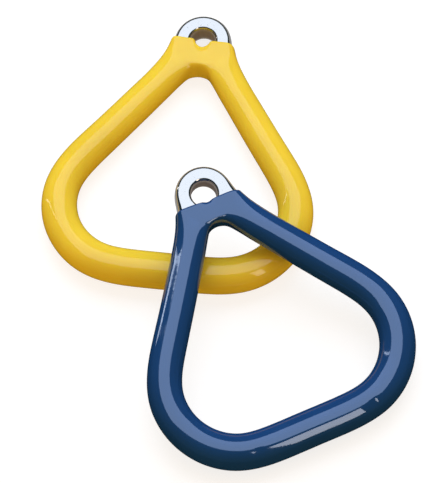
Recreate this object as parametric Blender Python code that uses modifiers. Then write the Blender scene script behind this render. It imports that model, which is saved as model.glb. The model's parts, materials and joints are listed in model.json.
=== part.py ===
"""A pair of coated triangle trapeze rings, one lying flat and one leaning on it.

Each ring is one metal casting with a hanging eye, dipped in vinyl up to a line across the eye.
Metres, +Z up. A ring's own frame has its origin at the middle of the bottom bar's centreline,
+Y towards the eye and +Z out of its upper face.
"""

import math

import bmesh
import bpy
import numpy as np
from mathutils import Euler, Matrix, Vector

# The casting
FOOT_RADIUS = 0.0100  # of the bottom bar
TAPER = 0.0093  # how much thinner the bar is, for each unit further from the bottom bar
APEX_HEIGHT = 0.1660  # where the two legs' centrelines would meet, above the bottom bar's
FOOT_HALF_WIDTH = 0.1164  # where a leg's centreline would meet the bottom bar's, from the middle
CORNER_RADIUS = 0.0451
EYE_HEIGHT = 0.1625
EYE_RADIUS = 0.0183
EYE_HALF_THICKNESS = 0.0080
EYE_ROUNDING = 0.0022
EYE_FLAT_MARGIN = 0.0030  # from the hole or the rim to where the eye's faces are truly flat
HOLE_RADIUS = 0.0078
ARCH_RADIUS = 0.0100  # the top of the hand opening, under the eye
ARCH_TOP = 0.1445  # above the bottom bar's centreline

# The dipped coating
COATING = 0.0016
FIT_GAP = 0.0003  # between the coating and the casting
DIP_ABOVE_EYE = {"yellow": -0.0004, "blue": -0.0050}
DIP_BOX = 0.1  # the side of the box that takes away everything past the dip line

# How the two rings lie: the place of each bottom bar's middle, and the turn about +Z
PLACE = {"yellow": (-0.0367, -0.0222), "blue": (0.0415, -0.1397)}
TURN = {"yellow": math.radians(-13.4), "blue": math.radians(18.4)}
FLAT_TILT = -math.atan(TAPER)  # the flat ring lies on its tapered legs, its eye end lower
MOST_LEAN = 0.6
REST_GAP = 0.0004  # between the leaning ring and the one under it
PATH_STEPS = 90  # along each straight and each bend, where the gap is measured

# The coarse cage under the subdivision surface
BAR_SIDES = 10
ARC_STEPS = 5
EYE_ANGLES = (0, 24, 48, 72, 96, 130, 164, 180)  # from the eye's top, in degrees
LEG_OPENING = (96, 130, 164)  # where a leg leaves the eye
RIM_EDGES = slice(4, 7)  # the edges of the eye's section that go round its rim
LEG_STATIONS = (0.028, 0.058, 0.092)  # from the legs' meeting point

SHARP_ANGLE = math.radians(35)  # edges sharper than this are shaded sharp
COLOURS = {
    "metal": ((0.85, 0.86, 0.88), 0.12, 1.0),
    "yellow": ((0.86, 0.60, 0.04), 0.2, 0.0),
    "blue": ((0.02, 0.07, 0.24), 0.2, 0.0),
}


def clear_scene():
    for obj in list(bpy.data.objects):
        bpy.data.objects.remove(obj, do_unlink=True)


def bspline_pull(step):
    """How far a cubic subdivision pulls a circle of control points in, as a share of its radius."""
    return (2 + math.cos(step)) / 3


def bar_radius(height):
    """The bar's radius at a height above the bottom bar's centreline."""
    return FOOT_RADIUS - TAPER * height


def bar_outline(radius):
    """A bar's round section as (outward, up) control points, starting at its top."""
    reach = radius / bspline_pull(2 * math.pi / BAR_SIDES)
    turns = (math.pi / 2 - 2 * math.pi * k / BAR_SIDES for k in range(BAR_SIDES))
    return [(reach * math.cos(a), reach * math.sin(a)) for a in turns]


def eye_outline(outer, grow):
    """The eye's section as (outward, up) control points, flat above and below, round at the rim."""
    half = EYE_HALF_THICKNESS + grow
    inner = HOLE_RADIUS - grow
    rim = half - EYE_ROUNDING
    top = [
        (inner, rim),
        (inner + EYE_ROUNDING / 2, half),
        (inner + EYE_FLAT_MARGIN, half),
        (outer - EYE_FLAT_MARGIN, half),
        (outer - EYE_ROUNDING, half),
        (outer, rim),
    ]
    return top + [(u, -w) for u, w in reversed(top)]


def add_section(bm, centre, outward, outline):
    """Adds a closed loop of edges: outline lies in the plane of outward and +Z, about centre."""
    up = Vector((0, 0, 1))
    verts = [bm.verts.new(centre + outward * u + up * w) for u, w in outline]
    return [bm.edges.new((a, b)) for a, b in zip(verts, verts[1:] + verts[:1])]


def bridge(bm, sections):
    for first, second in zip(sections, sections[1:]):
        bmesh.ops.bridge_loops(bm, edges=first + second)


def arch_reach(degrees):
    """From the eye's axis to the arch over the hand opening, at an angle from the eye's top."""
    aside = math.radians(180 - degrees)
    drop = EYE_HEIGHT - ARCH_TOP + ARCH_RADIUS
    half_chord = math.sqrt(ARCH_RADIUS**2 - (drop * math.sin(aside)) ** 2)
    return drop * math.cos(aside) - half_chord


def eye_reach(degrees):
    """The eye's outer radius, which grows into the web between the legs."""
    if degrees >= LEG_OPENING[-1]:
        return arch_reach(degrees)
    if degrees > LEG_OPENING[0]:
        return (EYE_RADIUS + arch_reach(LEG_OPENING[-1])) / 2
    return EYE_RADIUS


def eye_sections(bm, grow):
    """The right half of the eye, from its top round to the arch over the hand opening."""
    centre = Vector((0, EYE_HEIGHT, 0))
    sections = []
    for k, degrees in enumerate(EYE_ANGLES):
        before = degrees - EYE_ANGLES[k - 1] if k else EYE_ANGLES[1]
        after = EYE_ANGLES[k + 1] - degrees if degrees < 180 else before
        pull = (bspline_pull(math.radians(before)) + bspline_pull(math.radians(after))) / 2
        angle = math.radians(degrees)
        outline = [(u / pull, w) for u, w in eye_outline(eye_reach(degrees) + grow, grow)]
        outward = Vector((math.sin(angle), math.cos(angle), 0))
        sections.append(add_section(bm, centre, outward, outline))
    return sections


def open_for_leg(bm, sections):
    """Takes away the eye's rim where the right leg leaves it, and returns the opening's edges."""
    rim = set()
    for degrees, section in zip(EYE_ANGLES, sections):
        if degrees in LEG_OPENING:
            for edge in section[RIM_EDGES]:
                rim.update(edge.verts)
    faces = [face for face in bm.faces if rim.issuperset(face.verts)]
    bmesh.ops.delete(bm, geom=faces, context="FACES")
    return [e for e in bm.edges if e.is_boundary and max(v.co.x for v in e.verts) > 1e-6]


def direction(angle):
    return Vector((math.cos(angle), math.sin(angle), 0))


def right_corner():
    """The slope of the right leg, and the centre that its bottom corner bends about."""
    slope = math.atan2(APEX_HEIGHT, FOOT_HALF_WIDTH)
    tangent = CORNER_RADIUS / math.tan(slope / 2)
    return slope, Vector((FOOT_HALF_WIDTH - tangent, CORNER_RADIUS, 0))


def leg_and_foot_stations():
    """(centre, outward direction, swell) down the right leg, round the corner to the middle."""
    slope, middle = right_corner()
    apex = Vector((0, APEX_HEIGHT, 0))
    outward = direction(math.pi / 2 - slope)
    stations = [(apex + direction(-slope) * along, outward, 1) for along in LEG_STATIONS]
    turn = math.pi - slope
    pull = bspline_pull(turn / ARC_STEPS)
    for k in range(ARC_STEPS + 1):
        outward = direction(math.pi / 2 - slope - turn * k / ARC_STEPS)
        swell = 1 / pull if 0 < k < ARC_STEPS else 1 / math.sqrt(pull)
        stations.append((middle + outward * CORNER_RADIUS * swell, outward, swell))
    stations.append((Vector((0, 0, 0)), Vector((0, -1, 0)), 1))
    return stations


def casting_shape(name, grow):
    """The casting's outer shape, grown outward, as a mesh object in the ring's own frame."""
    bm = bmesh.new()
    eye = eye_sections(bm, grow)
    bridge(bm, eye)
    sections = [open_for_leg(bm, eye)]
    for centre, outward, swell in leg_and_foot_stations():
        outline = [(u * swell, w) for u, w in bar_outline(bar_radius(centre.y) + grow)]
        sections.append(add_section(bm, centre, outward, outline))
    bridge(bm, sections)
    bmesh.ops.recalc_face_normals(bm, faces=bm.faces)
    mesh = bpy.data.meshes.new(name)
    bm.to_mesh(mesh)
    bm.free()
    obj = bpy.data.objects.new(name, mesh)
    bpy.context.scene.collection.objects.link(obj)
    mirror = obj.modifiers.new("other half", "MIRROR")
    mirror.merge_threshold = 0.0001
    surface = obj.modifiers.new("smooth", "SUBSURF")
    surface.levels = surface.render_levels = 1
    return obj


def solid_of(obj):
    """A new object holding the mesh that obj's modifiers make, with obj removed."""
    evaluated = obj.evaluated_get(bpy.context.evaluated_depsgraph_get())
    mesh = bpy.data.meshes.new_from_object(evaluated)
    name = obj.name
    bpy.data.objects.remove(obj, do_unlink=True)
    mesh.name = name
    return bpy.data.objects.new(name, mesh)


def hide_cutter(obj, cutters, frame):
    cutters.objects.link(obj)
    obj.parent = frame
    obj.hide_render = True
    obj.display_type = "WIRE"


def box_above_dip(name, dip_height):
    """A box over everything past the dip line, which crosses the eye square to its length."""
    bm = bmesh.new()
    bmesh.ops.create_cube(bm, size=DIP_BOX)
    bmesh.ops.translate(bm, verts=bm.verts, vec=(0, dip_height + DIP_BOX / 2, 0))
    mesh = bpy.data.meshes.new(name)
    bm.to_mesh(mesh)
    bm.free()
    return bpy.data.objects.new(name, mesh)


def material(name, colour, roughness, metallic):
    made = bpy.data.materials.new(name)
    made.use_nodes = True
    shader = made.node_tree.nodes["Principled BSDF"]
    shader.inputs["Base Color"].default_value = (*colour, 1)
    shader.inputs["Roughness"].default_value = roughness
    shader.inputs["Metallic"].default_value = metallic
    return made


def finish(obj, collection, frame, finish_name):
    collection.objects.link(obj)
    obj.parent = frame
    obj.data.materials.clear()
    obj.data.materials.append(material(finish_name, *COLOURS[finish_name]))
    obj.data.shade_smooth()
    obj.data.set_sharp_from_angle(angle=SHARP_ANGLE)


def cut(obj, cutter):
    boolean = obj.modifiers.new("cut " + cutter.name, "BOOLEAN")
    boolean.operation = "DIFFERENCE"
    boolean.solver = "EXACT"
    boolean.object = cutter


def build_ring(colour, collection, cutters, frame):
    """One ring: the casting, and the vinyl skin that covers it up to the dip line."""
    casting = solid_of(casting_shape(colour + "_casting", 0))
    finish(casting, collection, frame, "metal")
    coating = solid_of(casting_shape(colour + "_coating", COATING))
    finish(coating, collection, frame, colour)
    core = solid_of(casting_shape(colour + "_core_cutter", FIT_GAP))
    dip = box_above_dip(colour + "_dip_cutter", EYE_HEIGHT + DIP_ABOVE_EYE[colour])
    for cutter in (core, dip):
        hide_cutter(cutter, cutters, frame)
        cut(coating, cutter)
    return [casting, coating]


def centreline():
    """Closely spaced points along the middle of both legs, both corners and the bottom bar."""
    slope, middle = right_corner()
    apex = Vector((0, APEX_HEIGHT, 0))
    bend_start = middle + direction(math.pi / 2 - slope) * CORNER_RADIUS
    turn = math.pi - slope
    right = [apex.lerp(bend_start, k / PATH_STEPS) for k in range(PATH_STEPS)]
    for k in range(PATH_STEPS):
        angle = math.pi / 2 - slope - turn * k / PATH_STEPS
        right.append(middle + direction(angle) * CORNER_RADIUS)
    right += [Vector((middle.x * k / PATH_STEPS, 0, 0)) for k in range(PATH_STEPS + 1)]
    return right + [Vector((-point.x, point.y, 0)) for point in right]


def ring_matrix(colour, lean):
    """A ring's place: its bottom bar lies on z = 0 and its eye end is raised by the lean."""
    place = Vector((*PLACE[colour], FOOT_RADIUS + COATING))
    return Matrix.LocRotScale(place, Euler((lean, 0, TURN[colour])), None)


def least_gap(lean):
    """The smallest gap between the flat ring and the other one at a lean."""
    path = centreline()
    radii = np.array([bar_radius(point.y) + COATING for point in path])
    flat = ring_matrix("yellow", FLAT_TILT)
    leaning = ring_matrix("blue", lean)
    under = np.array([flat @ point for point in path])
    over = np.array([leaning @ point for point in path])
    apart = np.linalg.norm(under[:, None] - over[None], axis=2)
    return (apart - radii[:, None] - radii[None]).min()


def resting_lean():
    """The lean at which the one ring comes to lie on the other, found by halving."""
    low, high = 0.0, MOST_LEAN
    while high - low > 1e-5:
        lean = (low + high) / 2
        if least_gap(lean) < REST_GAP:
            low = lean
        else:
            high = lean
    return high


def add_frame(colour, lean, collection):
    frame = bpy.data.objects.new(colour + "_frame", None)
    frame.empty_display_size = 0.03
    frame.rotation_mode = "XYZ"
    frame.matrix_world = ring_matrix(colour, lean)
    collection.objects.link(frame)
    return frame


def stand_on_origin(parts, frames):
    """Moves the frames so that the pair stands on z = 0, centred on the origin."""
    depsgraph = bpy.context.evaluated_depsgraph_get()
    points = []
    for part in parts:
        mesh = part.evaluated_get(depsgraph).data
        points += [part.matrix_world @ vert.co for vert in mesh.vertices]
    low = [min(point[axis] for point in points) for axis in range(3)]
    high = [max(point[axis] for point in points) for axis in range(3)]
    shift = Vector(((low[0] + high[0]) / 2, (low[1] + high[1]) / 2, low[2]))
    for frame in frames:
        frame.location -= shift


def main():
    clear_scene()
    rings = bpy.data.collections.new("Trapeze rings")
    cutters = bpy.data.collections.new("Cutters")
    for collection in (rings, cutters):
        bpy.context.scene.collection.children.link(collection)
    leans = {"yellow": FLAT_TILT, "blue": resting_lean()}
    frames = []
    parts = []
    for colour, lean in leans.items():
        frame = add_frame(colour, lean, rings)
        frames.append(frame)
        parts += build_ring(colour, rings, cutters, frame)
    bpy.context.view_layer.update()
    stand_on_origin(parts, frames)


main()
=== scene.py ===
import json
import math

import bmesh
import bpy
from mathutils import Matrix, Vector, noise
from mathutils.bvhtree import BVHTree


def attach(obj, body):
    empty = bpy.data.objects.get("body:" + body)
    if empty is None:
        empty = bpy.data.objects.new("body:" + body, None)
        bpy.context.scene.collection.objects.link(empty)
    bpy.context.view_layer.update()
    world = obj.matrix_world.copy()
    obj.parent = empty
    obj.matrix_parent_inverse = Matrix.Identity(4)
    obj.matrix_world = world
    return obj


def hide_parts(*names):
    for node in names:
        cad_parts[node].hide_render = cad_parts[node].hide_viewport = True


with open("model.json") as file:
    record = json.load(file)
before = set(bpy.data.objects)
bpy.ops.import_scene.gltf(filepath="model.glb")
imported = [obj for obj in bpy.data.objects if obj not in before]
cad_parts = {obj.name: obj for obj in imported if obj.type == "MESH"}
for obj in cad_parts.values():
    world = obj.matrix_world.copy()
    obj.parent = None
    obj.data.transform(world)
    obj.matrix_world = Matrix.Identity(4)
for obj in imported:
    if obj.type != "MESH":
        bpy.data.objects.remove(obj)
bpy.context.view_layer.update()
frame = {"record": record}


# The places of the two rings. One lies flat and the other leans on it. Each ring's own origin is the
# middle of its grip bar, with +Y towards its hanging eye and +Z out of its upper face, and is found
# from a mount on the flat face round the hole, a little to one side of the top.
EYE_HEIGHT = 0.1625
EYE_HALF_THICKNESS = 0.0080
MOUNT_FROM_EYE = 0.0135
MOUNT_ANGLE = math.radians(6)


def ring_place(colour):
    """The matrix from a ring's own frame to the shared one, from the mount on its upper face."""
    mounts = {mount["name"]: mount for mount in frame["record"]["mounts"]}
    mount = mounts[colour + "_eye_upper_face"]
    outward = Vector(mount["axis"]).normalized()
    across = Vector((0, 0, 1)).cross(outward).normalized()
    if across.x < 0:
        across.negate()
    towards_eye = outward.cross(across)
    turn = Matrix((across, towards_eye, outward)).transposed()
    on_face = Vector((
        MOUNT_FROM_EYE * math.sin(MOUNT_ANGLE),
        EYE_HEIGHT + MOUNT_FROM_EYE * math.cos(MOUNT_ANGLE),
        EYE_HALF_THICKNESS,
    ))
    return Matrix.Translation(Vector(mount["pos_m"]) - turn @ on_face) @ turn.to_4x4()


# The castings. Each ring is one piece of cast aluminium: a round bar bent to a triangle, which gets
# thinner towards the top, and a flat eye drilled for the hanger. It is ground and buffed bright, and
# only the upper half of the eye stays bare.

# The bar. Its radius falls by TAPER for each metre up the ring. Its legs would meet at APEX_HEIGHT,
# and would meet the line of the grip at FOOT_HALF_WIDTH. LEG_STATIONS are measured down a leg.
FOOT_RADIUS = 0.0100
TAPER = 0.0093
APEX_HEIGHT = 0.1660
FOOT_HALF_WIDTH = 0.1164
CORNER_RADIUS = 0.0451
LEG_STATIONS = (0.028, 0.058, 0.092)
ARC_STEPS = 5
BAR_SIDES = 10

# The eye, and the web that joins the legs under it, over the arch of the hand opening. Angles are in
# degrees from the eye's top. A leg leaves between those in LEG_OPENING, through the edges in RIM_EDGES.
EYE_RADIUS = 0.0183
EYE_ROUNDING = 0.0022
EYE_FLAT_MARGIN = 0.0030
WEB_CROWN = 0.0012
HOLE_RADIUS = 0.0078
ARCH_RADIUS = 0.0100
ARCH_TOP = 0.1445
EYE_ANGLES = (0, 24, 48, 72, 96, 130, 164, 180)
LEG_OPENING = (96, 130, 164)
RIM_EDGES = slice(4, 7)

FINE_LEVELS = 3
SAME_POINT = 0.00001
OFF_MIDDLE = 0.000001


def bspline_pull(step):
    """How far a cubic subdivision pulls a circle of control points in, as a share of its radius."""
    return (2 + math.cos(step)) / 3


def bar_section(bm, centre, outward, swell, grow):
    """A round section of the bar, across the way that the bar runs."""
    radius = FOOT_RADIUS - TAPER * centre.y + grow
    reach = radius / bspline_pull(2 * math.pi / BAR_SIDES)
    up = Vector((0, 0, 1))
    along = outward.cross(up)
    place = Matrix.Translation(centre) @ Matrix((outward * swell, up, along)).transposed().to_4x4()
    made = bmesh.ops.create_circle(bm, segments=BAR_SIDES, radius=reach, matrix=place)
    return list({edge for vert in made["verts"] for edge in vert.link_edges})


def smooth_step(share):
    """Rises smoothly from 0 to 1 as the share does, and is level beyond."""
    share = min(max(share, 0), 1)
    return share * share * (3 - 2 * share)


def eye_section(bm, degrees, reach, pull, grow):
    """A section through one side of the eye: flat, with rounded edges, and crowned in the web."""
    half = EYE_HALF_THICKNESS + grow
    inner = HOLE_RADIUS - grow
    outer = reach + grow
    rim = half - EYE_ROUNDING
    top = [
        (inner, rim),
        (inner + EYE_ROUNDING / 2, half),
        (inner + EYE_FLAT_MARGIN, half),
        (outer - EYE_FLAT_MARGIN, half),
        (outer - EYE_ROUNDING, half),
        (outer, rim),
    ]
    crown = WEB_CROWN * smooth_step((degrees - LEG_OPENING[0]) / (LEG_OPENING[-1] - LEG_OPENING[0]))
    middle = (outer + inner) / 2
    half_width = (outer - inner) / 2
    top = [(u, w - crown * ((u - middle) / half_width) ** 2) for u, w in top]
    outward = Vector((math.sin(math.radians(degrees)), math.cos(math.radians(degrees)), 0))
    centre = Vector((0, EYE_HEIGHT, 0))
    verts = []
    for u, w in top + [(u, -w) for u, w in reversed(top)]:
        verts.append(bm.verts.new(centre + outward * u / pull + Vector((0, 0, w))))
    return [bm.edges.new(ends) for ends in zip(verts, verts[1:] + verts[:1])]


def arch_reach(degrees):
    """From the eye's axis to the arch over the hand opening, at an angle from the eye's top."""
    aside = math.radians(180 - degrees)
    drop = EYE_HEIGHT - ARCH_TOP + ARCH_RADIUS
    half_chord = math.sqrt(ARCH_RADIUS**2 - (drop * math.sin(aside)) ** 2)
    return drop * math.cos(aside) - half_chord


def eye_reach(degrees):
    """The eye's outer radius, which grows into the web between the legs."""
    if degrees >= LEG_OPENING[-1]:
        return arch_reach(degrees)
    if degrees > LEG_OPENING[0]:
        return (EYE_RADIUS + arch_reach(LEG_OPENING[-1])) / 2
    return EYE_RADIUS


def open_for_leg(bm, sections):
    """Takes away the eye's rim where the leg leaves it, and returns the opening's edges."""
    rim = set()
    for degrees, section in zip(EYE_ANGLES, sections):
        if degrees in LEG_OPENING:
            for edge in section[RIM_EDGES]:
                rim.update(edge.verts)
    faces = [face for face in bm.faces if rim.issuperset(face.verts)]
    bmesh.ops.delete(bm, geom=faces, context="FACES")
    return [e for e in bm.edges if e.is_boundary and max(v.co.x for v in e.verts) > OFF_MIDDLE]


def direction(angle):
    """The level direction at an angle from +X."""
    return Vector((math.cos(angle), math.sin(angle), 0))


def bar_stations():
    """(centre, outward direction, swell) down the leg, round the corner to the middle of the grip."""
    slope = math.atan2(APEX_HEIGHT, FOOT_HALF_WIDTH)
    middle = Vector((FOOT_HALF_WIDTH - CORNER_RADIUS / math.tan(slope / 2), CORNER_RADIUS, 0))
    apex = Vector((0, APEX_HEIGHT, 0))
    outward = direction(math.pi / 2 - slope)
    stations = [(apex + direction(-slope) * along, outward, 1) for along in LEG_STATIONS]
    turn = math.pi - slope
    pull = bspline_pull(turn / ARC_STEPS)
    for k in range(ARC_STEPS + 1):
        outward = direction(math.pi / 2 - slope - turn * k / ARC_STEPS)
        swell = 1 / pull if 0 < k < ARC_STEPS else 1 / math.sqrt(pull)
        stations.append((middle + outward * CORNER_RADIUS * swell, outward, swell))
    stations.append((Vector((0, 0, 0)), Vector((0, -1, 0)), 1))
    return stations


def ring_cage(grow):
    """The coarse cage of a casting, grown outwards: one half of the ring, and its mirror image."""
    bm = bmesh.new()
    sections = []
    for k, degrees in enumerate(EYE_ANGLES):
        before = degrees - EYE_ANGLES[k - 1] if k else EYE_ANGLES[1]
        after = EYE_ANGLES[k + 1] - degrees if degrees < 180 else before
        pull = (bspline_pull(math.radians(before)) + bspline_pull(math.radians(after))) / 2
        sections.append(eye_section(bm, degrees, eye_reach(degrees), pull, grow))
    for first, second in zip(sections, sections[1:]):
        bmesh.ops.bridge_loops(bm, edges=first + second)
    sections = [open_for_leg(bm, sections)]
    for centre, outward, swell in bar_stations():
        sections.append(bar_section(bm, centre, outward, swell, grow))
    for first, second in zip(sections, sections[1:]):
        bmesh.ops.bridge_loops(bm, edges=first + second)
    bmesh.ops.mirror(bm, geom=bm.verts[:] + bm.edges[:] + bm.faces[:], axis="X", merge_dist=0)
    bmesh.ops.remove_doubles(bm, verts=bm.verts, dist=SAME_POINT)
    bmesh.ops.recalc_face_normals(bm, faces=bm.faces)
    cage = bpy.data.meshes.new("cage")
    bm.to_mesh(cage)
    bm.free()
    return cage


def ring_surface(grow):
    """The whole outer surface of a casting, grown outwards, as a fine mesh in the ring's own frame."""
    cage = ring_cage(grow)
    obj = bpy.data.objects.new("cage", cage)
    bpy.context.scene.collection.objects.link(obj)
    surface = obj.modifiers.new("smooth", "SUBSURF")
    surface.levels = surface.render_levels = FINE_LEVELS
    fine = bpy.data.meshes.new_from_object(obj.evaluated_get(bpy.context.evaluated_depsgraph_get()))
    bpy.data.objects.remove(obj)
    bpy.data.meshes.remove(cage)
    return fine


def add_piece(name, mesh, colour, finish):
    """Puts a finished mesh in its ring's place, to move with that ring."""
    mesh.transform(ring_place(colour))
    mesh.name = name
    mesh.shade_smooth()
    mesh.materials.append(finish)
    piece = bpy.data.objects.new(name, mesh)
    bpy.context.scene.collection.objects.link(piece)
    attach(piece, colour + "_ring")
    return piece


def new_finish(name):
    """A material with its node tree and shader, and the point that its patterns read."""
    made = bpy.data.materials.new(name)
    made.use_nodes = True
    tree = made.node_tree
    point = tree.nodes.new("ShaderNodeTexCoord").outputs["Object"]
    return made, tree, tree.nodes["Principled BSDF"], point


def texture(tree, kind, point, **values):
    """A texture node that reads a point and is set to the given values."""
    node = tree.nodes.new("ShaderNodeTex" + kind)
    tree.links.new(point, node.inputs["Vector"])
    for name, value in values.items():
        node.inputs[name].default_value = value
    return node.outputs["Distance" if kind == "Voronoi" else "Fac"]


def ranged(tree, value, span, result):
    """A value moved from one range to another, held at its ends."""
    node = tree.nodes.new("ShaderNodeMapRange")
    tree.links.new(value, node.inputs["Value"])
    for name, number in zip(("From Min", "From Max", "To Min", "To Max"), (*span, *result)):
        node.inputs[name].default_value = number
    return node.outputs["Result"]


def bumped(tree, height, distance, under=None):
    """Adds relief of a given depth over the relief under it."""
    node = tree.nodes.new("ShaderNodeBump")
    node.inputs["Distance"].default_value = distance
    tree.links.new(height, node.inputs["Height"])
    if under:
        tree.links.new(under, node.inputs["Normal"])
    return node.outputs["Normal"]


def mixed(tree, share, first, second):
    """A colour between two others, of which the second may be another node's output."""
    node = tree.nodes.new("ShaderNodeMix")
    node.data_type = "RGBA"
    tree.links.new(share, node.inputs["Factor"])
    node.inputs["A"].default_value = (*first, 1)
    if isinstance(second, bpy.types.NodeSocket):
        tree.links.new(second, node.inputs["B"])
    else:
        node.inputs["B"].default_value = (*second, 1)
    return node.outputs["Result"]


# The metal's finish. The wall of the hole keeps its dull cast skin, up to a narrow edge round its
# mouth, and its colour there is painted shade: dark brown, for the shade and warm light that it
# reflects.
# The spans are where a pattern's value starts and ends its change, and depths are in metres.
BRIGHT = (0.57, 0.55, 0.52)
STAINED = (0.30, 0.28, 0.25)
CAST_SKIN_AND_PAINTED_SHADE = (0.26, 0.21, 0.19)
CAST_METALLIC = 0.25
CAST_ROUGHNESS = 0.55
HOLE_EDGE = (HOLE_RADIUS + 0.0001, HOLE_RADIUS + 0.0007)
STAINS_PER_METRE = 700
STAIN_SPAN = (0.64, 0.76)
METAL_SMEARS_PER_METRE = 260
METAL_SMEAR_SPAN = (0.3, 0.7)
METAL_ROUGHNESS = (0.05, 0.16)
HAIR_LINES_PER_METRE = (40, 1400, 1400)
HAIR_LINE_DEPTH = 0.000003
PITS_PER_METRE = 420
PIT_SPAN = (0.0, 0.10)
PIT_DEPTH = 0.00001


def in_ring_frame(tree, point, colour):
    """The same point in a ring's own frame, so that a pattern lies along the ring."""
    inverse = ring_place(colour).inverted()
    local = tree.nodes.new("ShaderNodeMapping")
    local.inputs["Location"].default_value = inverse.translation
    local.inputs["Rotation"].default_value = inverse.to_euler()
    tree.links.new(point, local.inputs["Vector"])
    return local.outputs["Vector"]


def outside_hole(tree, ring_point):
    """0 on the wall of the eye's hole, and 1 on the metal round it."""
    flat = tree.nodes.new("ShaderNodeVectorMath")
    flat.operation = "MULTIPLY"
    flat.inputs[1].default_value = (1, 1, 0)
    tree.links.new(ring_point, flat.inputs[0])
    from_axis = tree.nodes.new("ShaderNodeVectorMath")
    from_axis.operation = "DISTANCE"
    from_axis.inputs[1].default_value = (0, EYE_HEIGHT, 0)
    tree.links.new(flat.outputs["Vector"], from_axis.inputs[0])
    return ranged(tree, from_axis.outputs["Value"], HOLE_EDGE, (0, 1))


def polished_metal(colour):
    """Bright buffed metal with hair lines, small stains and pits, and a dull cast skin in the hole,
    painted dark brown as shade.
    """
    made, tree, shader, point = new_finish("polished_metal_" + colour)
    ring_point = in_ring_frame(tree, point, colour)
    polish = outside_hole(tree, ring_point)
    stains = texture(tree, "Noise", point, Scale=STAINS_PER_METRE, Detail=3, Roughness=0.7)
    buffed = mixed(tree, ranged(tree, stains, STAIN_SPAN, (0, 1)), BRIGHT, STAINED)
    # In the hole the colour is painted shade: a dark brown that stands in for shade and reflected warm
    # light.
    tree.links.new(mixed(tree, polish, CAST_SKIN_AND_PAINTED_SHADE, buffed), shader.inputs["Base Color"])
    tree.links.new(ranged(tree, polish, (0, 1), (CAST_METALLIC, 1)), shader.inputs["Metallic"])

    smears = texture(tree, "Noise", point, Scale=METAL_SMEARS_PER_METRE, Detail=4, Roughness=0.6)
    dullest = tree.nodes.new("ShaderNodeMath")
    dullest.operation = "MAXIMUM"
    tree.links.new(ranged(tree, smears, METAL_SMEAR_SPAN, METAL_ROUGHNESS), dullest.inputs[0])
    tree.links.new(ranged(tree, polish, (0, 1), (CAST_ROUGHNESS, 0)), dullest.inputs[1])
    tree.links.new(dullest.outputs["Value"], shader.inputs["Roughness"])

    stretched = tree.nodes.new("ShaderNodeMapping")
    stretched.inputs["Scale"].default_value = HAIR_LINES_PER_METRE
    tree.links.new(ring_point, stretched.inputs["Vector"])
    lines = texture(tree, "Noise", stretched.outputs["Vector"], Scale=1, Detail=3)
    pits = ranged(tree, texture(tree, "Voronoi", point, Scale=PITS_PER_METRE), PIT_SPAN, (0, 1))
    relief = bumped(tree, lines, HAIR_LINE_DEPTH, bumped(tree, pits, PIT_DEPTH))
    tree.links.new(relief, shader.inputs["Normal"])
    return made


for colour in ("yellow", "blue"):
    casting = add_piece(
        colour + "_ring_casting", ring_surface(0), colour, polished_metal(colour)
    )
    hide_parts(colour + "_casting")


# The coatings. The casting is heated and dipped eye up in liquid vinyl, which gels to a thick glossy
# skin up to a slightly tilted line across the eye, and ends there in a rounded lip. It runs before it
# sets, so it gathers in the bottom of the hole, fills in the neck, and is never quite even.
COATING = 0.0016
BOND = 0.00005
DIP_BELOW_EYE = {"yellow": 0.0004, "blue": 0.0050}
DIP_TILT = math.radians(2.2)

# The lip, which is LIP deep. Its line wanders by LIP_WANDER in waves of LIP_WAVE, and the wander dies
# away at LIP_FADE times its depth.
LIP = 0.0015
LIP_ROWS = 6
LIP_WANDER = 0.0003
LIP_WAVE = 0.006
LIP_FADE = 2

# The pooled vinyl in the hole, the smoothed neck, the uneven skin and its few shallow dents. Each
# skin reads its own part of the noise.
POOL = {"yellow": 0.0018, "blue": 0.0006}
POOL_REACH = 0.0025
NECK_FROM = 0.128
NECK_SMOOTHING = 14
UNEVEN = 0.00006
UNEVEN_LENGTH = 0.018
DENTS = {
    "yellow": ((-0.004, 0.143, 0.008),),
    "blue": ((0.0402, -0.0035, 0.0105), (-0.0373, -0.0019, 0.0112)),
}
DENT_DEPTH = 0.0004
DENT_REACH = 0.0030
NOISE_PLACE = {"yellow": Vector((0, 0, 0)), "blue": Vector((0, 0, 7))}


def smooth_neck(outer):
    """Fills in the hollows of the neck, as the thick vinyl does."""
    neck = [v for v in outer.verts if v.co.y > NECK_FROM and not v.is_boundary]
    for _ in range(NECK_SMOOTHING):
        bmesh.ops.smooth_vert(
            outer, verts=neck, factor=0.5, use_axis_x=True, use_axis_y=True, use_axis_z=True
        )
    outer.normal_update()


def let_it_run(outer, colour, below_dip):
    """Makes the skin uneven, dents it, pools vinyl in the bottom of the hole, and wanders the lip."""
    axis = Vector((0, EYE_HEIGHT, 0))
    for vert in outer.verts:
        depth = below_dip(vert.co)
        at = vert.co.copy()
        vert.co += vert.normal * UNEVEN * noise.noise(at / UNEVEN_LENGTH + NOISE_PLACE[colour])
        for dent in DENTS[colour]:
            away = (at - Vector(dent)).length / DENT_REACH
            vert.co -= vert.normal * DENT_DEPTH * math.exp(-(away**2))
        inward = axis - Vector((at.x, at.y, 0))
        near = (HOLE_RADIUS + POOL_REACH - inward.length) / (COATING + POOL_REACH)
        vert.co += inward.normalized() * POOL[colour] * smooth_step(near)
        wander = noise.noise(at / LIP_WAVE + NOISE_PLACE[colour])
        vert.co.y += LIP_WANDER * wander * smooth_step(LIP_FADE - depth / LIP)


def cut_rows(bm, dip, upwards, depths):
    """Cuts a surface off at the dip line, and cuts more rows into it below, for the lip."""
    for depth in depths:
        bmesh.ops.bisect_plane(
            bm,
            geom=bm.verts[:] + bm.edges[:] + bm.faces[:],
            plane_co=dip - upwards * depth,
            plane_no=upwards,
            clear_outer=not depth,
        )


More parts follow.
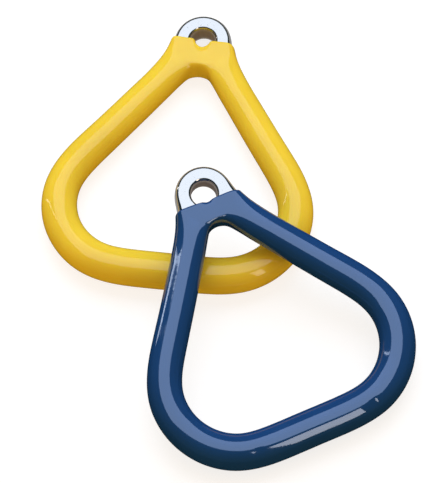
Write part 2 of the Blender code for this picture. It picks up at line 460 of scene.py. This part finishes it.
def coating_mesh(colour):
    """The skin: an outer wall and a lining next to the metal, joined by the lip at the dip line."""
    dip = Vector((0, EYE_HEIGHT - DIP_BELOW_EYE[colour], 0))
    upwards = Vector((math.sin(DIP_TILT), math.cos(DIP_TILT), 0))

    def below_dip(point):
        return (dip - point).dot(upwards)

    outer = bmesh.new()
    outer.from_mesh(ring_surface(COATING))
    inner = bmesh.new()
    inner.from_mesh(ring_surface(BOND))
    metal = BVHTree.FromBMesh(inner)
    rows = [0]
    for k in range(1, LIP_ROWS + 1):
        rows.append(LIP * (1 - math.cos(math.pi / 2 * k / LIP_ROWS)))
    cut_rows(outer, dip, upwards, rows)
    cut_rows(inner, dip, upwards, rows[:1])
    shares = {vert: below_dip(vert.co) / LIP for vert in outer.verts}
    smooth_neck(outer)
    let_it_run(outer, colour, below_dip)
    for vert, share in shares.items():
        if share < 1:
            foot = metal.find_nearest(vert.co)[0]
            rise = math.sqrt(max(0, 1 - (1 - share) ** 2))
            vert.co = foot.lerp(vert.co, rise)
    bmesh.ops.reverse_faces(inner, faces=inner.faces)
    lining = bpy.data.meshes.new("lining")
    inner.to_mesh(lining)
    inner.free()
    outer.from_mesh(lining)
    bpy.data.meshes.remove(lining)
    for side in (-1, 1):
        lips = [e for e in outer.edges if e.is_boundary and e.verts[0].co.x * side > 0]
        bmesh.ops.bridge_loops(outer, edges=lips)
    mesh = bpy.data.meshes.new(colour + "_coating")
    outer.to_mesh(mesh)
    outer.free()
    return mesh


# The vinyl's finish. Light glows a few millimetres through the yellow vinyl, and the blue one has a
# stronger, bluish gloss.
VINYL_COLOUR = {"yellow": (0.81, 0.585, 0.042), "blue": (0.0095, 0.052, 0.180)}
VINYL_IOR = {"yellow": 1.5, "blue": 2.0}
GLOSS_TINT = {"yellow": (1, 1, 1), "blue": (0.62, 0.76, 1.0)}
GLOW = {"yellow": 0.2, "blue": 0.0}
GLOW_RADIUS = (1.0, 0.6, 0.15)
GLOW_DEPTH = 0.004
DRIFTS_PER_METRE = 28
DRIFT_SPAN = (0.3, 0.7)
DRIFT = (0.95, 1.04)
VINYL_SMEARS_PER_METRE = 90
VINYL_SMEAR_SPAN = (0.35, 0.75)
VINYL_ROUGHNESS = (0.03, 0.10)
RIPPLES_PER_METRE = 420
RIPPLE_DEPTH = 0.00001


def vinyl(colour):
    """Glossy dipped vinyl: even colour with slow drifts, faint ripples and a few dull smears."""
    made, tree, shader, point = new_finish(colour + "_vinyl")
    shader.inputs["IOR"].default_value = VINYL_IOR[colour]
    shader.inputs["Specular Tint"].default_value = (*GLOSS_TINT[colour], 1)
    shader.inputs["Subsurface Weight"].default_value = GLOW[colour]
    shader.inputs["Subsurface Radius"].default_value = GLOW_RADIUS
    shader.inputs["Subsurface Scale"].default_value = GLOW_DEPTH
    drift = tree.nodes.new("ShaderNodeHueSaturation")
    drift.inputs["Color"].default_value = (*VINYL_COLOUR[colour], 1)
    clouds = texture(tree, "Noise", point, Scale=DRIFTS_PER_METRE, Detail=2)
    tree.links.new(ranged(tree, clouds, DRIFT_SPAN, DRIFT), drift.inputs["Value"])
    tree.links.new(drift.outputs["Color"], shader.inputs["Base Color"])
    smears = texture(tree, "Noise", point, Scale=VINYL_SMEARS_PER_METRE, Detail=4, Roughness=0.6)
    tree.links.new(ranged(tree, smears, VINYL_SMEAR_SPAN, VINYL_ROUGHNESS), shader.inputs["Roughness"])
    ripples = texture(tree, "Noise", point, Scale=RIPPLES_PER_METRE, Detail=1)
    tree.links.new(bumped(tree, ripples, RIPPLE_DEPTH), shader.inputs["Normal"])
    return made


for colour in ("yellow", "blue"):
    coating = add_piece(
        colour + "_ring_coating", coating_mesh(colour), colour, vinyl(colour)
    )
    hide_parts(colour + "_coating")


# The floor. A plain pale tabletop, which glows by itself so that it stays even. It doesn't show in
# the gloss of the rings, and doesn't light them.
FLOOR_SIZE = 6.0
FLOOR_COLOUR = (0.28, 0.28, 0.28)
FLOOR_ROUGHNESS = 0.9
FLOOR_BRIGHTNESS = 0.78
WHITE = (1, 1, 1)


def glowing_sheet(name, height, base, roughness, brightness):
    """A large level square that glows white."""
    bm = bmesh.new()
    bmesh.ops.create_grid(bm, x_segments=1, y_segments=1, size=FLOOR_SIZE / 2)
    bmesh.ops.translate(bm, verts=bm.verts, vec=(0, 0, height))
    mesh = bpy.data.meshes.new(name)
    bm.to_mesh(mesh)
    bm.free()
    sheet = bpy.data.objects.new(name, mesh)
    bpy.context.scene.collection.objects.link(sheet)
    made = bpy.data.materials.new(name)
    made.use_nodes = True
    shader = made.node_tree.nodes["Principled BSDF"]
    shader.inputs["Base Color"].default_value = (*base, 1)
    shader.inputs["Roughness"].default_value = roughness
    shader.inputs["Emission Color"].default_value = (*WHITE, 1)
    shader.inputs["Emission Strength"].default_value = brightness
    mesh.materials.append(made)
    sheet.visible_diffuse = False
    return sheet


floor = glowing_sheet("floor", 0, FLOOR_COLOUR, FLOOR_ROUGHNESS, FLOOR_BRIGHTNESS)
floor.visible_glossy = False


# The lights. Three broad cool lamps and a warm even fill light the colours. Panels overhead, in front
# and behind show only in the gloss, as long clean reflections in a dark room. A white card under the
# floor shows only in the bare metal, and stands for the bright table that it would reflect.
SKY = (0.52, 0.72, 1.0)
PALE_SKY = (0.75, 0.84, 1.0)
WARM = (1.0, 0.87, 0.76)
LAMP_DISTANCE = 2.5


def add_lamp(name, azimuth, polar, width, length, radiance, tint, job):
    """A flat lamp facing the rings from a direction: azimuth from +X, polar angle from +Z."""
    azimuth, polar = math.radians(azimuth), math.radians(polar)
    away = Vector((
        math.sin(polar) * math.cos(azimuth), math.sin(polar) * math.sin(azimuth), math.cos(polar)
    ))
    lamp = bpy.data.lights.new(name, "AREA")
    lamp.shape = "RECTANGLE"
    lamp.size = width
    lamp.size_y = length
    lamp.color = tint
    lamp.energy = radiance * math.pi * width * length
    obj = bpy.data.objects.new(name, lamp)
    obj.location = away * LAMP_DISTANCE
    obj.rotation_mode = "QUATERNION"
    obj.rotation_quaternion = (-away).to_track_quat("-Z", "Y")
    obj.visible_camera = False
    obj.visible_glossy = job == "gloss"
    obj.visible_diffuse = job == "colour"
    bpy.context.scene.collection.objects.link(obj)


def add_square_lamp(name, azimuth, polar, side, radiance):
    """A cool square lamp that lights the colours and doesn't show in the gloss."""
    add_lamp(name, azimuth, polar, side, side, radiance, SKY, "colour")


def add_panel(name, azimuth, polar, width, length, radiance, tint):
    """A panel that shows in the gloss and doesn't light the colours."""
    add_lamp(name, azimuth, polar, width, length, radiance, tint, "gloss")


add_square_lamp("key", azimuth=80, polar=36, side=2.2, radiance=3.9)
add_square_lamp("left_fill", azimuth=122, polar=68, side=2.0, radiance=1.2)
add_square_lamp("right_fill", azimuth=40, polar=62, side=2.0, radiance=0.7)
add_panel("overhead", azimuth=85, polar=10, width=3.4, length=2.9, radiance=1.9, tint=PALE_SKY)
add_panel("front_strip", azimuth=-59, polar=54, width=0.44, length=1.6, radiance=3.6, tint=WARM)
add_panel("back_strip", azimuth=148, polar=66, width=0.08, length=2.4, radiance=4.0, tint=WHITE)


FILL_COLOUR = (0.76, 0.53, 0.28)
FILL_BRIGHTNESS = 1
ROOM_COLOUR = (0.45, 0.80, 0.85)
ROOM_BRIGHTNESS = 0.045


def add_world():
    """A warm even fill for the colours, and a dark room for the gloss."""
    world = bpy.data.worlds.new("studio")
    world.use_nodes = True
    tree = world.node_tree
    fill = tree.nodes["Background"]
    fill.inputs["Color"].default_value = (*FILL_COLOUR, 1)
    fill.inputs["Strength"].default_value = FILL_BRIGHTNESS
    room = tree.nodes.new("ShaderNodeBackground")
    room.inputs["Color"].default_value = (*ROOM_COLOUR, 1)
    room.inputs["Strength"].default_value = ROOM_BRIGHTNESS
    choice = tree.nodes.new("ShaderNodeMixShader")
    rays = tree.nodes.new("ShaderNodeLightPath")
    tree.links.new(rays.outputs["Is Glossy Ray"], choice.inputs[0])
    tree.links.new(fill.outputs[0], choice.inputs[1])
    tree.links.new(room.outputs[0], choice.inputs[2])
    tree.links.new(choice.outputs[0], tree.nodes["World Output"].inputs["Surface"])
    bpy.context.scene.world = world


CARD_DROP = 0.002
CARD_ROUGHNESS = 1
CARD_BRIGHTNESS = 0.42
BLACK = (0, 0, 0)


def add_card():
    """A white card under the floor that only the bare metal reflects."""
    card = glowing_sheet("card", -CARD_DROP, BLACK, CARD_ROUGHNESS, CARD_BRIGHTNESS)
    shader = card.active_material.node_tree.nodes["Principled BSDF"]
    shader.inputs["Specular IOR Level"].default_value = 0
    card.visible_camera = False
    bare = bpy.data.collections.new("bare_metal")
    for colour in ("yellow", "blue"):
        bare.objects.link(bpy.data.objects[colour + "_ring_casting"])
    card.light_linking.receiver_collection = bare


add_card()
add_world()
bpy.context.scene.view_settings.view_transform = "Standard"


# The camera looks down on the rings from the grip's side, with a long lens and a slight roll.
# Angles are in radians, and the lens and its sensor are in millimetres.
CAMERA_OFF_VERTICAL = 0.4638
CAMERA_DISTANCE = 3.3995
CAMERA_ROLL = 0.1079
CAMERA_LENS = 402.9
CAMERA_SENSOR = 36
CAMERA_AIM = Vector((-0.0002, 0.0042, 0))


def add_camera():
    """Places the camera and makes it the scene's own."""
    camera = bpy.data.cameras.new("camera")
    camera.lens = CAMERA_LENS
    camera.sensor_width = CAMERA_SENSOR
    obj = bpy.data.objects.new("camera", camera)
    back = Vector((0, -math.sin(CAMERA_OFF_VERTICAL), math.cos(CAMERA_OFF_VERTICAL)))
    up = Vector((0, math.cos(CAMERA_OFF_VERTICAL), math.sin(CAMERA_OFF_VERTICAL)))
    right = Vector((1, 0, 0))
    rolled_right = right * math.cos(CAMERA_ROLL) - up * math.sin(CAMERA_ROLL)
    rolled_up = right * math.sin(CAMERA_ROLL) + up * math.cos(CAMERA_ROLL)
    turn = Matrix((rolled_right, rolled_up, back)).transposed()
    obj.matrix_world = Matrix.Translation(CAMERA_AIM + back * CAMERA_DISTANCE) @ turn.to_4x4()
    bpy.context.scene.collection.objects.link(obj)
    bpy.context.scene.camera = obj


add_camera()
